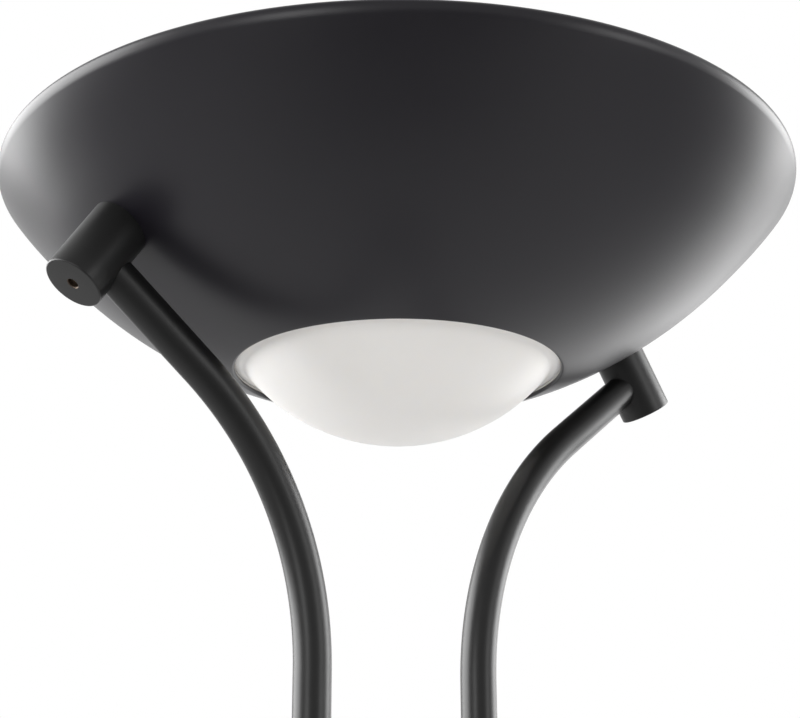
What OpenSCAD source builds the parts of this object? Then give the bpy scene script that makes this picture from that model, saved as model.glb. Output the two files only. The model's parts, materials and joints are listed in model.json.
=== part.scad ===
// Torchiere floor lamp: a spun metal bowl with an opal diffuser in its bottom,
// carried by two bent tubes whose ends enter short barrels seated on the bowl.
// Origin at the centre of the base on the floor, +Z up, both tubes in the XZ plane,
// dimmer knob towards -Y, cord inlet towards +Y.

/* [Bowl] */
// Height of the bowl's rim above the floor
rim_h = 1800; // [1700:5:1900]
// Outer radius of the bowl at its rim
bowl_r = 216; // [205:1:235]
// Radius of the sphere that the bowl is spun to
bowl_sphere_r = 268; // [262:1:300]
// Thickness of the spun sheet
bowl_wall = 1.2; // [0.8:0.1:2]
// Radius of the rolled bead round the rim
rim_bead_r = 2.9; // [2.6:0.1:4]
// Radius of the round opening in the bowl's bottom
opening_r = 87.5; // [84:0.5:95]
// Width of the sheet that is folded back round the opening
hem_w = 6; // [5:0.5:8]

/* [Diffuser] */
// How far the diffuser bulges below the edge of the opening
dome_drop = 36.5; // [25:0.5:42]
// Gap between the diffuser and the edge of the opening
dome_gap = 7; // [5:0.5:10]
// Thickness of the opal glass
glass_t = 3; // [2:0.5:4]
// Width of the diffuser's flange beyond the opening
flange_w = 10; // [9:0.5:14]
// Thickness of the gasket under the flange
gasket_t = 1; // [0.8:0.1:2]

/* [Tubes] */
// Outer radius of the tubes
tube_r = 9.5; // [9:0.25:10]
// Wall thickness of the tubes
tube_wall = 1.5; // [1:0.1:1.8]
// Distance between the axes of the two tubes
tube_spacing = 104; // [96:1:112]
// Radius of the bend at a tube's axis
bend_r = 180; // [160:1:190]
// Angle that the tubes bend outwards from the vertical
bend_angle = 51.5; // [48:0.5:56]
// Height of the joint above the lowest sections
lower_joint_h = 575; // [500:5:700]
// Height of the joint above the middle sections
upper_joint_h = 1110; // [1100:5:1200]

/* [Barrels] */
// Outer radius of the barrels, the foot collars and the bridge
barrel_r = 15; // [14:0.25:17]
// Length of a barrel from the bowl to its flat end
barrel_l = 40; // [38:1:46]
// Angle of a barrel's axis from the vertical
barrel_tilt = 33; // [31:0.5:36]
// Distance from the lamp's axis to the point where a barrel meets the bowl
barrel_seat_r = 167; // [160:1:172]
// Distance along a barrel from the bowl to the tube's axis
tube_entry = 19.5; // [18.5:0.5:22]
// Depth of the tube's end beyond the barrel's axis
tube_depth = 10; // [7:0.5:11]
// Rounding of the barrels' ends
end_fillet = 1; // [0.5:0.25:3]

/* [Bridge and dimmer] */
// Height of the bridge's axis
bridge_h = 1060; // [900:5:1070]
// Distance from a tube's axis to the end of the bridge
bridge_reach = 23; // [20:0.5:28]
// Wall thickness of the bridge's tube
bridge_wall = 2.5; // [2:0.1:3]
// Radius of the dimmer's knob
knob_r = 11; // [10:0.5:14]
// Length of the dimmer's knob
knob_l = 15; // [13:0.5:18]
// Number of grip flutes round the knob
knob_flutes = 24; // [16:1:30]

/* [Base] */
// Outer radius of the base
base_r = 145; // [130:1:160]
// Height of the base without its collars
base_h = 32; // [32:0.5:38]
// Thickness of the spun cover's sheet
cover_wall = 1.5; // [1:0.1:2]
// Rounding of the cover's shoulder
shoulder_r = 9; // [6:0.5:10]
// Thickness of the pad under the base
pad_t = 3; // [2:0.5:4]
// Height of the foot collars above the base
collar_h = 26; // [24:0.5:30]
// Height of the cord inlet's axis
inlet_h = 11; // [10:0.5:12]

/* [Sockets and bulbs] */
// Outer radius of a bulb socket
socket_r = 17; // [16.5:0.25:19]
// Length of a bulb socket
socket_l = 40; // [38:0.5:44]
// Largest radius of a bulb
bulb_r = 30; // [28:0.5:31]
// Length of a bulb outside its socket
bulb_l = 82; // [80:1:86]
// Radius of the bulb's screw cap
cap_r = 13; // [12.5:0.1:13.2]

/* [Hidden] */
$fn = 96;

// Clearances
slip = 0.05;        // between a shaft, tube or nipple and its hole
seat = 0.1;         // between pieces that rest on each other's curved faces
seam = 0.02;        // between two solids that are one stretch of tube
cut = 1;            // how far a cutter reaches past the face that it opens

// Lamp hardware: pipe thread nipples, their nuts and washers
nipple_r = 5;
nipple_bore_r = 3.5;
nut_af = 14;
nut_t = 4;
washer_r = 12;
washer_t = 2;
saddle_t = 3;
nut_r = nut_af / 2 / cos(30);
screw_r = 2.25;
screw_recess = 2.5;
hex_r = 1.45;
hex_depth = 3;
wire_r = 2.6;

// Bowl: the bead's centre lies where the sheet's sphere runs into the rolled edge
bead_x = bowl_r - rim_bead_r;
bead_angle = asin(bead_x / (bowl_sphere_r - rim_bead_r));
sphere_z = rim_h - rim_bead_r + (bowl_sphere_r - rim_bead_r) * cos(bead_angle);
inner_sphere_r = bowl_sphere_r - bowl_wall;
hem_sphere_r = inner_sphere_r - bowl_wall;
opening_angle = asin((opening_r + bowl_wall) / inner_sphere_r);
hem_angle = asin((opening_r + hem_w) / inner_sphere_r);
lip_z = sphere_z - sqrt(pow(bowl_sphere_r, 2) - pow(opening_r, 2));
curl_slot = 50;

// Diffuser: a spherical cap that passes the edge of the opening at dome_lip_r
dome_lip_r = opening_r - dome_gap;
dome_sphere_r = (pow(dome_lip_r, 2) + pow(dome_drop, 2)) / (2 * dome_drop);
dome_z = lip_z - dome_drop + dome_sphere_r;
flange_sphere_r = hem_sphere_r - gasket_t - 2 * seat;
flange_r = opening_r + flange_w;
flange_angle = asin(flange_r / flange_sphere_r);
gasket_inset = 1;

// Barrels: local +Z runs out from the bowl along the barrel, local +X towards the tube
seat_z = sphere_z - sqrt(pow(bowl_sphere_r, 2) - pow(barrel_seat_r, 2));
joint_x = barrel_seat_r + tube_entry * sin(barrel_tilt);
joint_z = seat_z - tube_entry * cos(barrel_tilt);
entry_skew = 90 - barrel_tilt - bend_angle;

// Tubes: the straight stub after the bend ends in the barrel
tube_x = tube_spacing / 2;
stub_l = (joint_x - tube_x - bend_r * (1 - cos(bend_angle))) / sin(bend_angle);
bend_z = joint_z - bend_r * sin(bend_angle) - stub_l * cos(bend_angle);
tube_bore_r = tube_r - tube_wall;
insert_l = 16;
wire_hole_r = 6.5;

// Base
cover_in_r = base_r - cover_wall;
weight_r = cover_in_r - 1;
weight_top = base_h - cover_wall - 6;
collar_floor = 6;
pole_foot = base_h + collar_floor + slip;
recess_r = 15;
recess_top = pad_t + 15;
pocket_in_r = 70;
pocket_out_r = 118;
pocket_top = pad_t + 9;
rib_t = 5;
rib_count = 6;
channel_w = 12;
bushing_r = 5.5;
bushing_lip = 0.8;
inlet_r = 3.5;
inlet_l = 12;
inlet_flange_r = 8;
inlet_flange_t = 2;
collar_screw_z = base_h + collar_h - 9;

// Bridge and dimmer
bridge_in_r = barrel_r - bridge_wall;
bridge_end = tube_x + bridge_reach;
plug_flange_t = 4;
plug_spigot_l = 6;
flat_depth = 0.8;
flat_r = 8;
flat_y = -barrel_r + flat_depth;
dimmer_w = 38;
dimmer_d = 15;
dimmer_h = 17;
bush_r = 4;
bush_tip_y = flat_y - 4.6;
dimmer_nut_af = 11;
dimmer_nut_t = 2;
shaft_r = 3;
shaft_in_y = -9;
knob_back_y = -barrel_r - 0.6;
knob_front_y = knob_back_y - knob_l;
knob_skirt_r = knob_r - 2.6;
knob_cavity = 5.5;
knob_fillet = 1.2;
flute_r = 0.9;

// Bracket: a strip under the bulbs, its ends bent to lie square to the nipples
strip_t = 2;
strip_w = 24;
tab_reach = 18;
tab_end = 13;
tab_x = barrel_seat_r - (bowl_wall + saddle_t) * sin(barrel_tilt);
tab_z = seat_z + (bowl_wall + saddle_t) * cos(barrel_tilt);
bracket_bend_x = tab_x - tab_reach * cos(barrel_tilt);
bracket_z = tab_z - tab_reach * sin(barrel_tilt);
bracket_top = bracket_z + strip_t;

// Cluster and sockets: local +Z of a socket runs out along the bulb
cluster_r = 19;
cluster_wall = 2;
cluster_h = 40;
cluster_flat = cluster_r - 0.5;
cluster_in_flat = 14.5;
cluster_side_t = cluster_flat - cluster_in_flat;
lid_t = 3;
lid_skirt = 4;
socket_z = bracket_top + 4 + socket_r;
socket_y = cluster_flat;
socket_face = socket_y + socket_l;
neck_r = 10;
neck_l = 7;
socket_floor = 12;
shell_r = cap_r + 0.55;
shell_in_r = cap_r + 0.15;
shell_l = 23;
contact_r = 5;
contact_t = 1.5;
cap_l = 19;
tip_l = 5.2;
cap_bottom = socket_l - cap_l - 1;
bulb_neck_r = cap_r + 1.5;
bulb_body_l = 34;
bulb_wall = 1.4;
clip_x = 85;

// Puts its children on the left or the right side of the lamp
module on_side(side) {
    mirror([side < 0 ? 1 : 0, 0, 0]) children();
}

// Puts its children on both sides
module both_sides() {
    for (side = [-1, 1]) on_side(side) children();
}

// Moves its children to a barrel's own frame on the right side
module at_barrel() {
    translate([barrel_seat_r, 0, seat_z]) rotate([0, 180 - barrel_tilt, 0]) children();
}

// Moves its children to a socket's own frame, at the front or the rear
module at_socket(side) {
    translate([0, side * socket_y, socket_z]) rotate([-90 * side, 0, 0]) children();
}

// A tube or rod along +Z from z0 to z1
module pipe(r, bore, z0, z1) {
    translate([0, 0, z0]) difference() {
        cylinder(r = r, h = z1 - z0);
        translate([0, 0, -cut]) cylinder(r = bore, h = z1 - z0 + 2 * cut);
    }
}

// A disc or post whose upper edge is rounded
module rounded_post(r, h, fillet) {
    rotate_extrude() {
        square([r - fillet, h]);
        square([r, h - fillet]);
        translate([r - fillet, h - fillet]) circle(r = fillet, $fn = 48);
    }
}

// A lock nut with its bottom face at z0
module lock_nut(z0) {
    translate([0, 0, z0]) difference() {
        cylinder(r = nut_r, h = nut_t, $fn = 6);
        translate([0, 0, -cut]) cylinder(r = nipple_r, h = nut_t + 2 * cut);
    }
}

// A hex socket set screw along +Z with its socket at the top
module set_screw(l) {
    difference() {
        rotate_extrude() polygon([[0, 0], [screw_r - 0.8, 0], [screw_r - slip, 0.8],
            [screw_r - slip, l - 0.3], [screw_r - slip - 0.3, l], [0, l]]);
        translate([0, 0, l - hex_depth]) cylinder(r = hex_r, h = hex_depth + cut, $fn = 6);
    }
}

// A wedge between two angles from the downward vertical, with its point at the origin
module wedge(a0, a1, l) {
    polygon([[0, 0], [l * sin(a0), -l * cos(a0)], [l * sin(a1), -l * cos(a1)]]);
}

// The outline of a spherical sheet between two radii and two angles
module sheet_outline(outer, inner, a0, a1) {
    intersection() {
        difference() {
            circle(r = outer);
            circle(r = inner);
        }
        wedge(a0, a1, 2 * outer);
    }
}

module base_pad() {
    color("dimgray") cylinder(r = weight_r, h = pad_t);
}

module base_weight() {
    color("gray") difference() {
        union() {
            translate([0, 0, pad_t]) cylinder(r = weight_r, h = weight_top - pad_t);
            both_sides() translate([tube_x, 0, pad_t])
                cylinder(r = recess_r + 4, h = base_h - cover_wall - pad_t);
        }
        difference() {
            pipe(pocket_out_r, pocket_in_r, pad_t - cut, pocket_top);
            for (i = [0:rib_count - 1]) rotate(i * 360 / rib_count)
                translate([0, -rib_t / 2, 0]) cube([base_r, rib_t, pocket_top + cut]);
        }
        both_sides() translate([tube_x, 0, 0]) {
            translate([0, 0, pad_t - cut]) cylinder(r = recess_r, h = recess_top - pad_t + cut);
            cylinder(r = nipple_r, h = base_h);
        }
        translate([-channel_w / 2, -channel_w / 2, pad_t - cut])
            cube([channel_w, base_r, pocket_top - pad_t + cut]);
        translate([0, -channel_w / 2, pad_t - cut])
            cube([tube_x, channel_w, pocket_top - pad_t + cut]);
        translate([0, 0, inlet_h]) rotate([-90, 0, 0]) translate([0, 0, base_r - inlet_l])
            cylinder(r = bushing_r + bushing_lip + 2 * seat, h = inlet_l + cut);
    }
}

module base_cover() {
    color([0.09, 0.09, 0.1]) difference() {
        rounded_post(base_r, base_h, shoulder_r);
        translate([0, 0, -cut])
            rounded_post(cover_in_r, base_h - cover_wall + cut, shoulder_r - cover_wall);
        translate([0, 0, -cut]) cylinder(r = base_r + cut, h = pad_t / 2 + cut);
        both_sides() translate([tube_x, 0, 0]) cylinder(r = nipple_r, h = base_h + cut);
        translate([0, base_r - cut, inlet_h]) rotate([-90, 0, 0])
            translate([0, 0, -cut]) cylinder(r = bushing_r, h = 4 * cut);
    }
}

module cord_bushing() {
    color([0.06, 0.06, 0.06]) translate([0, 0, inlet_h]) rotate([-90, 0, 0]) difference() {
        union() {
            translate([0, 0, base_r - inlet_l]) cylinder(r = bushing_r - slip, h = inlet_l);
            translate([0, 0, base_r]) cylinder(r = inlet_flange_r, h = inlet_flange_t);
            translate([0, 0, base_r - cover_wall - inlet_flange_t - 2 * seat])
                cylinder(r = bushing_r + bushing_lip, h = inlet_flange_t);
        }
        translate([0, 0, base_r - inlet_l - cut])
            cylinder(r = inlet_r, h = inlet_l + inlet_flange_t + 2 * cut);
    }
}

module foot_collar(side) {
    color([0.09, 0.09, 0.1]) on_side(side) translate([tube_x, 0, base_h]) difference() {
        rounded_post(barrel_r, collar_h, end_fillet);
        translate([0, 0, collar_floor]) cylinder(r = tube_r + slip, h = collar_h);
        translate([0, 0, -cut]) cylinder(r = nipple_r, h = collar_h);
        translate([0, 0, collar_screw_z - base_h]) rotate([-90, 0, 0])
            cylinder(r = screw_r, h = barrel_r + cut);
    }
}

module foot_collar_left() { foot_collar(-1); }
module foot_collar_right() { foot_collar(1); }

module foot_nipples() {
    color("darkgoldenrod") both_sides() translate([tube_x, 0, 0])
        pipe(nipple_r - slip, nipple_bore_r, recess_top - washer_t - nut_t - 1, pole_foot + 3);
}

module foot_washers() {
    color("silver") both_sides() translate([tube_x, 0, 0])
        pipe(washer_r, nipple_r, recess_top - washer_t, recess_top);
}

module foot_nuts() {
    color("darkgoldenrod") both_sides() translate([tube_x, 0, 0])
        lock_nut(recess_top - washer_t - nut_t);
}

module collar_screws() {
    color("goldenrod") both_sides() translate([tube_x, tube_r, collar_screw_z])
        rotate([-90, 0, 0]) set_screw(barrel_r - tube_r - 0.5);
}

module pole(side, z0, z1) {
    on_side(side) translate([tube_x, 0, 0]) pipe(tube_r, tube_bore_r, z0, z1);
}

module pole_lower_left() {
    color([0.09, 0.09, 0.1]) pole(-1, pole_foot, lower_joint_h);
}

module pole_lower_right() {
    color([0.09, 0.09, 0.1]) pole(1, pole_foot, lower_joint_h);
}

module pole_middle_left() {
    color([0.09, 0.09, 0.1]) pole(-1, lower_joint_h, upper_joint_h);
}

module pole_middle_right() {
    color([0.09, 0.09, 0.1]) difference() {
        pole(1, lower_joint_h, upper_joint_h);
        translate([0, 0, bridge_h]) rotate([0, 90, 0]) cylinder(r = wire_hole_r, h = tube_x);
    }
}

module pole_inserts() {
    color("goldenrod") both_sides() for (z = [lower_joint_h, upper_joint_h])
        translate([tube_x, 0, 0]) {
            pipe(tube_bore_r - slip, nipple_r, z - insert_l, z - slip);
            pipe(tube_bore_r - slip, nipple_r, z + slip, z + insert_l);
        }
}

module pole_nipples() {
    color("darkgoldenrod") both_sides() for (z = [lower_joint_h, upper_joint_h])
        translate([tube_x, 0, 0])
            pipe(nipple_r - slip, nipple_bore_r, z - insert_l + 2, z + insert_l - 2);
}

// The right arm's tube: straight, bent and straight again. The last stretch is a solid of
// its own that meets the bend end to end.
module arm_tube() {
    translate([tube_x + bend_r, 0, bend_z]) {
        translate([-bend_r, 0, 0]) mirror([0, 0, 1])
            pipe(tube_r, tube_bore_r, 0, bend_z - upper_joint_h);
        rotate([90, 0, 0]) mirror([1, 0, 0]) rotate_extrude(angle = bend_angle)
            translate([bend_r, 0]) difference() {
                circle(r = tube_r);
                circle(r = tube_bore_r);
            }
    }
    difference() {
        translate([tube_x + bend_r, 0, bend_z]) rotate([0, bend_angle, 0])
            translate([-bend_r, 0, 0])
                pipe(tube_r, tube_bore_r, seam, stub_l + tube_depth - seat);
        at_barrel() cylinder(r = nipple_r, h = tube_entry);
    }
}

module arm(side) {
    color([0.09, 0.09, 0.1]) on_side(side) arm_tube();
}

module arm_left() { arm(-1); }
module arm_right() { arm(1); }

module bridge_tube() {
    color([0.09, 0.09, 0.1]) translate([0, 0, bridge_h]) difference() {
        rotate([0, 90, 0]) pipe(barrel_r, bridge_in_r,
            -bridge_end + plug_flange_t, bridge_end - plug_flange_t);
        both_sides() translate([tube_x, 0, -barrel_r - cut])
            cylinder(r = tube_r + slip, h = 2 * (barrel_r + cut));
        rotate([90, 0, 0]) cylinder(r = bush_r + slip, h = barrel_r + cut);
        rotate([90, 0, 0]) translate([0, 0, -flat_y]) cylinder(r = flat_r, h = flat_depth + cut);
    }
}

module bridge_plug(side) {
    color([0.09, 0.09, 0.1]) on_side(side) translate([bridge_end - plug_flange_t, 0, bridge_h])
        rotate([0, 90, 0]) difference() {
            union() {
                rounded_post(barrel_r, plug_flange_t, end_fillet);
                translate([0, 0, -plug_spigot_l])
                    cylinder(r = bridge_in_r - slip, h = plug_spigot_l + cut);
            }
            translate([0, 0, -plug_spigot_l - cut])
                cylinder(r = screw_r, h = plug_spigot_l + plug_flange_t + 2 * cut);
        }
}

module bridge_plug_left() { bridge_plug(-1); }
module bridge_plug_right() { bridge_plug(1); }

module bridge_screws() {
    color("goldenrod") both_sides() translate([tube_x + tube_r, 0, bridge_h])
        rotate([0, 90, 0]) set_screw(bridge_reach - tube_r - screw_recess);
}

module dimmer_body() {
    color("darkslategray") translate([0, 0, bridge_h]) difference() {
        union() {
            translate([-dimmer_w / 2, -dimmer_d / 2, -dimmer_h / 2])
                cube([dimmer_w, dimmer_d, dimmer_h]);
            rotate([90, 0, 0]) cylinder(r = bush_r + 3, h = bridge_in_r - 3);
            rotate([90, 0, 0]) cylinder(r = bush_r, h = -bush_tip_y);
        }
        rotate([90, 0, 0]) translate([0, 0, -shaft_in_y - 0.3])
            cylinder(r = shaft_r + slip, h = barrel_r);
    }
}

module dimmer_nut() {
    color("silver") translate([0, flat_y, bridge_h]) rotate([90, 0, 0]) difference() {
        cylinder(r = dimmer_nut_af / 2 / cos(30), h = dimmer_nut_t, $fn = 6);
        translate([0, 0, -cut]) cylinder(r = bush_r + slip, h = dimmer_nut_t + 2 * cut);
    }
}

module dimmer_shaft() {
    color("silver") translate([0, shaft_in_y, bridge_h]) rotate([90, 0, 0])
        cylinder(r = shaft_r, h = shaft_in_y - knob_front_y - 3);
}

module dimmer_knob() {
    color([0.07, 0.07, 0.08]) translate([0, knob_back_y, bridge_h]) rotate([90, 0, 0])
        difference() {
            rounded_post(knob_r, knob_l, knob_fillet);
            for (i = [0:knob_flutes - 1]) rotate((i + 0.5) * 360 / knob_flutes)
                translate([knob_r + flute_r / 2, 0, 1.5]) cylinder(r = flute_r, h = knob_l, $fn = 16);
            translate([0, 0, -cut]) cylinder(r = knob_skirt_r, h = knob_cavity + cut);
            cylinder(r = shaft_r + slip / 2, h = knob_l - 3 + seat);
            translate([-0.5, knob_r / 2, knob_l - 0.5]) cube([1, knob_r, 1]);
        }
}

module barrel(side) {
    color([0.09, 0.09, 0.1]) on_side(side) difference() {
        at_barrel() difference() {
            union() {
                rounded_post(barrel_r, barrel_l, end_fillet);
                translate([0, 0, -4]) cylinder(r = barrel_r, h = 4 + cut);
            }
            translate([0, 0, tube_entry]) rotate([0, 90 - entry_skew, 0])
                translate([0, 0, -tube_depth]) cylinder(r = tube_r + slip, h = 3 * barrel_r);
            translate([0, 0, -5]) cylinder(r = nipple_r, h = tube_entry + 5);
            translate([0, 0, tube_entry]) cylinder(r = screw_r, h = barrel_l);
        }
        translate([0, 0, sphere_z]) sphere(r = bowl_sphere_r + seat, $fn = 256);
    }
}

module barrel_left() { barrel(-1); }
module barrel_right() { barrel(1); }

module barrel_screws() {
    tip = tube_entry + tube_r / cos(entry_skew) + 2 * seat;
    color("goldenrod") both_sides() at_barrel()
        translate([0, 0, tip]) set_screw(barrel_l - screw_recess - tip);
}

module bowl_nipples() {
    color("darkgoldenrod") both_sides() at_barrel()
        pipe(nipple_r - slip, nipple_bore_r,
            -bowl_wall - saddle_t - strip_t - nut_t - 2, tube_entry - tube_r - 1);
}

module saddle_washers() {
    color("silver") both_sides() intersection() {
        at_barrel() pipe(washer_r, nipple_r, -bowl_wall - saddle_t, cut);
        translate([0, 0, sphere_z]) sphere(r = inner_sphere_r - seat, $fn = 256);
    }
}

module bowl_nuts() {
    color("darkgoldenrod") both_sides() at_barrel()
        lock_nut(-bowl_wall - saddle_t - strip_t - nut_t - slip);
}

module bowl_shade() {
    color([0.09, 0.09, 0.1]) difference() {
        translate([0, 0, sphere_z]) rotate_extrude() {
            sheet_outline(bowl_sphere_r, inner_sphere_r, opening_angle, bead_angle);
            sheet_outline(inner_sphere_r + slip, hem_sphere_r, opening_angle, hem_angle);
            translate([inner_sphere_r * sin(opening_angle), -inner_sphere_r * cos(opening_angle)])
                circle(r = bowl_wall, $fn = 48);
            translate([bead_x, rim_h - rim_bead_r - sphere_z]) difference() {
                circle(r = rim_bead_r, $fn = 64);
                circle(r = rim_bead_r - bowl_wall, $fn = 64);
                rotate(180 - curl_slot / 2) wedge(90, 90 + curl_slot, 3 * rim_bead_r);
            }
        }
        both_sides() at_barrel() translate([0, 0, -10]) cylinder(r = nipple_r, h = 20);
    }
}

module diffuser_dome() {
    color([0.93, 0.92, 0.9]) rotate_extrude() {
        intersection() {
            translate([0, dome_z]) difference() {
                circle(r = dome_sphere_r);
                circle(r = dome_sphere_r - glass_t);
            }
            translate([0, sphere_z]) intersection() {
                translate([0, -2 * bowl_sphere_r]) square([bowl_sphere_r, 2 * bowl_sphere_r]);
                difference() {
                    translate([0, -bowl_sphere_r]) square(2 * bowl_sphere_r, center = true);
                    circle(r = flange_sphere_r - glass_t / 2);
                }
            }
        }
        difference() {
            translate([0, sphere_z])
                sheet_outline(flange_sphere_r, flange_sphere_r - glass_t, 0, flange_angle);
            translate([0, dome_z]) circle(r = dome_sphere_r - glass_t);
        }
    }
}

module diffuser_gasket() {
    outer = hem_sphere_r - seat;
    color("white") translate([0, 0, sphere_z]) rotate_extrude()
        sheet_outline(outer, outer - gasket_t,
            asin((opening_r + gasket_inset) / outer), asin((opening_r + hem_w - gasket_inset) / outer));
}

module lamp_bracket() {
    mitre = strip_t * tan(barrel_tilt / 2);
    run = tab_reach + tab_end;
    tab_tip = [run * cos(barrel_tilt), run * sin(barrel_tilt)];
    color("lightgray") difference() {
        both_sides() rotate([90, 0, 0]) linear_extrude(strip_w, center = true)
            translate([0, bracket_z]) polygon([[0, 0], [bracket_bend_x, 0],
                [bracket_bend_x, 0] + tab_tip,
                [bracket_bend_x, 0] + tab_tip + strip_t * [-sin(barrel_tilt), cos(barrel_tilt)],
                [bracket_bend_x - mitre, strip_t], [0, strip_t]]);
        both_sides() at_barrel() translate([0, 0, -20]) cylinder(r = nipple_r, h = 20);
        translate([0, 0, bracket_z - cut]) cylinder(r = nipple_r, h = strip_t + 2 * cut);
    }
}

// Centre height of the hole by which the wire enters the cluster
wire_entry_z = bracket_top + cluster_wall + wire_r + 2 * slip;

module cluster_body() {
    color("gainsboro") difference() {
        translate([0, 0, bracket_top]) cylinder(r = cluster_r, h = cluster_h);
        translate([0, 0, bracket_top + cluster_wall]) intersection() {
            cylinder(r = cluster_r - cluster_wall, h = cluster_h);
            translate([-cluster_r, -cluster_in_flat, 0])
                cube([2 * cluster_r, 2 * cluster_in_flat, cluster_h]);
        }
        translate([0, 0, bracket_top + cluster_h - lid_skirt - cut])
            cylinder(r = cluster_r - cluster_wall, h = cluster_h);
        translate([0, 0, bracket_top - cut]) cylinder(r = nipple_r, h = cluster_h);
        translate([0, 0, socket_z]) rotate([90, 0, 0])
            cylinder(r = nipple_r, h = 3 * cluster_r, center = true);
        translate([0, 0, wire_entry_z]) rotate([0, 90, 0])
            cylinder(r = wire_r + slip, h = 2 * cluster_r);
        for (side = [-1, 1]) at_socket(side)
            translate([-neck_r - cut, -neck_r - cut, 0]) cube(2 * (neck_r + cut));
    }
}

module cluster_lid() {
    color("gainsboro") translate([0, 0, bracket_top + cluster_h]) {
        rounded_post(cluster_r, lid_t, lid_t / 2);
        pipe(cluster_r - cluster_wall - slip, cluster_r - 2 * cluster_wall, -lid_skirt, cut);
    }
}

module cluster_stem() {
    color("darkgoldenrod") pipe(nipple_r - slip, nipple_bore_r,
        bracket_z - nut_t - 2, bracket_top + cluster_wall + nut_t + 2);
}

module cluster_nuts() {
    color("darkgoldenrod") {
        lock_nut(bracket_z - nut_t);
        lock_nut(bracket_top + cluster_wall);
        for (side = [-1, 1]) at_socket(side) lock_nut(-cluster_side_t - nut_t);
    }
}

module socket_nipples() {
    color("darkgoldenrod") for (side = [-1, 1]) at_socket(side)
        pipe(nipple_r - slip, nipple_bore_r, -cluster_side_t - nut_t - 1, neck_l);
}

// A socket: a neck, a flared shoulder, a straight skirt and a bead round its mouth
module socket(side) {
    color([0.9, 0.88, 0.84]) at_socket(side) rotate_extrude() difference() {
        union() {
            square([neck_r, neck_l]);
            polygon([[0, neck_l - 2], [neck_r, neck_l - 2], [socket_r, neck_l + 3],
                [socket_r, socket_l], [0, socket_l]]);
            translate([socket_r - 1, socket_l - 2]) circle(r = 2, $fn = 48);
        }
        translate([0, socket_floor]) square([shell_r + slip, socket_l]);
        translate([0, -cut]) square([nipple_r, socket_floor - 3]);
    }
}

module socket_front() { socket(-1); }
module socket_rear() { socket(1); }

module screw_shell(side) {
    color("gold") at_socket(side) pipe(shell_r, shell_in_r, socket_floor, socket_floor + shell_l);
}

module screw_shell_front() { screw_shell(-1); }
module screw_shell_rear() { screw_shell(1); }

module socket_contacts() {
    color("goldenrod") for (side = [-1, 1]) at_socket(side)
        translate([0, 0, socket_floor]) cylinder(r = contact_r, h = contact_t);
}

module bulb_cap(side) {
    color("silver") at_socket(side) translate([0, 0, cap_bottom])
        pipe(cap_r, cap_r - 0.5, 0, cap_l + 1);
}

module bulb_cap_front() { bulb_cap(-1); }
module bulb_cap_rear() { bulb_cap(1); }

module bulb_tips() {
    color("black") for (side = [-1, 1]) at_socket(side) rotate_extrude() polygon([
        [0, socket_floor + contact_t + slip], [3.5, socket_floor + contact_t + slip],
        [5, cap_bottom - 2], [cap_r - 1, cap_bottom - slip], [0, cap_bottom - slip]]);
}

// The white lower half of a bulb, which holds its driver
module bulb_body(side) {
    color("white") at_socket(side) translate([0, 0, socket_l]) rotate_extrude() {
        polygon([[0, slip], [bulb_neck_r, slip], [bulb_neck_r + 1.5, 8],
            [bulb_r - 4, bulb_body_l - 3], [bulb_r - 3, bulb_body_l], [0, bulb_body_l]]);
        translate([0, -cap_l * 0.8]) square([cap_r - 0.5 - slip, cap_l]);
    }
}

module bulb_body_front() { bulb_body(-1); }
module bulb_body_rear() { bulb_body(1); }

// The frosted globe: part of a sphere on a short cone that meets the bulb's body
module bulb_globe(side) {
    centre = bulb_l - bulb_r;
    color([0.95, 0.95, 0.93]) at_socket(side) translate([0, 0, socket_l])
        intersection() {
            difference() {
                translate([0, 0, centre]) sphere(r = bulb_r);
                translate([0, 0, centre]) sphere(r = bulb_r - bulb_wall);
            }
            translate([0, 0, bulb_body_l + slip]) cylinder(r = bulb_r + cut, h = bulb_l);
        }
}

module bulb_globe_front() { bulb_globe(-1); }
module bulb_globe_rear() { bulb_globe(1); }

// One ring of a swept wire: the last ring moved along d to the plane through p square to n
function next_ring(ring, d, p, n) = [for (v = ring) v + d * ((p - v) * n) / (d * n)];

// The direction of a route after its point i
function heading(route, i) =
    (route[i + 1] - route[i]) / norm(route[i + 1] - route[i]);

// A wire of radius wire_r along a route, mitred at each of the route's points
module wire(route) {
    sides = 8;
    last = len(route) - 1;
    d0 = heading(route, 0);
    u = cross(d0, abs(d0[2]) < 0.9 ? [0, 0, 1] : [0, 1, 0]);
    side_u = u / norm(u);
    side_v = cross(d0, side_u);
    start = [for (k = [0:sides - 1]) route[0]
        + wire_r * (side_u * cos(k * 360 / sides) + side_v * sin(k * 360 / sides))];
    rings = [for (i = 0, ring = start; i <= last; i = i + 1,
        ring = i > last ? ring : next_ring(ring, heading(route, i - 1), route[i],
            heading(route, i - 1) + (i < last ? heading(route, i) : heading(route, i - 1))))
        ring];
    points = [for (ring = rings) for (v = ring) v];
    faces = concat(
        [[for (k = [0:sides - 1]) k]],
        [[for (k = [sides - 1:-1:0]) last * sides + k]],
        [for (i = [0:last - 1]) for (k = [0:sides - 1])
            [i * sides + k, (i + 1) * sides + k, (i + 1) * sides + (k + 1) % sides]],
        [for (i = [0:last - 1]) for (k = [0:sides - 1])
            [i * sides + k, (i + 1) * sides + (k + 1) % sides, i * sides + (k + 1) % sides]]);
    polyhedron(points, faces, convexity = 6);
}

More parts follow.
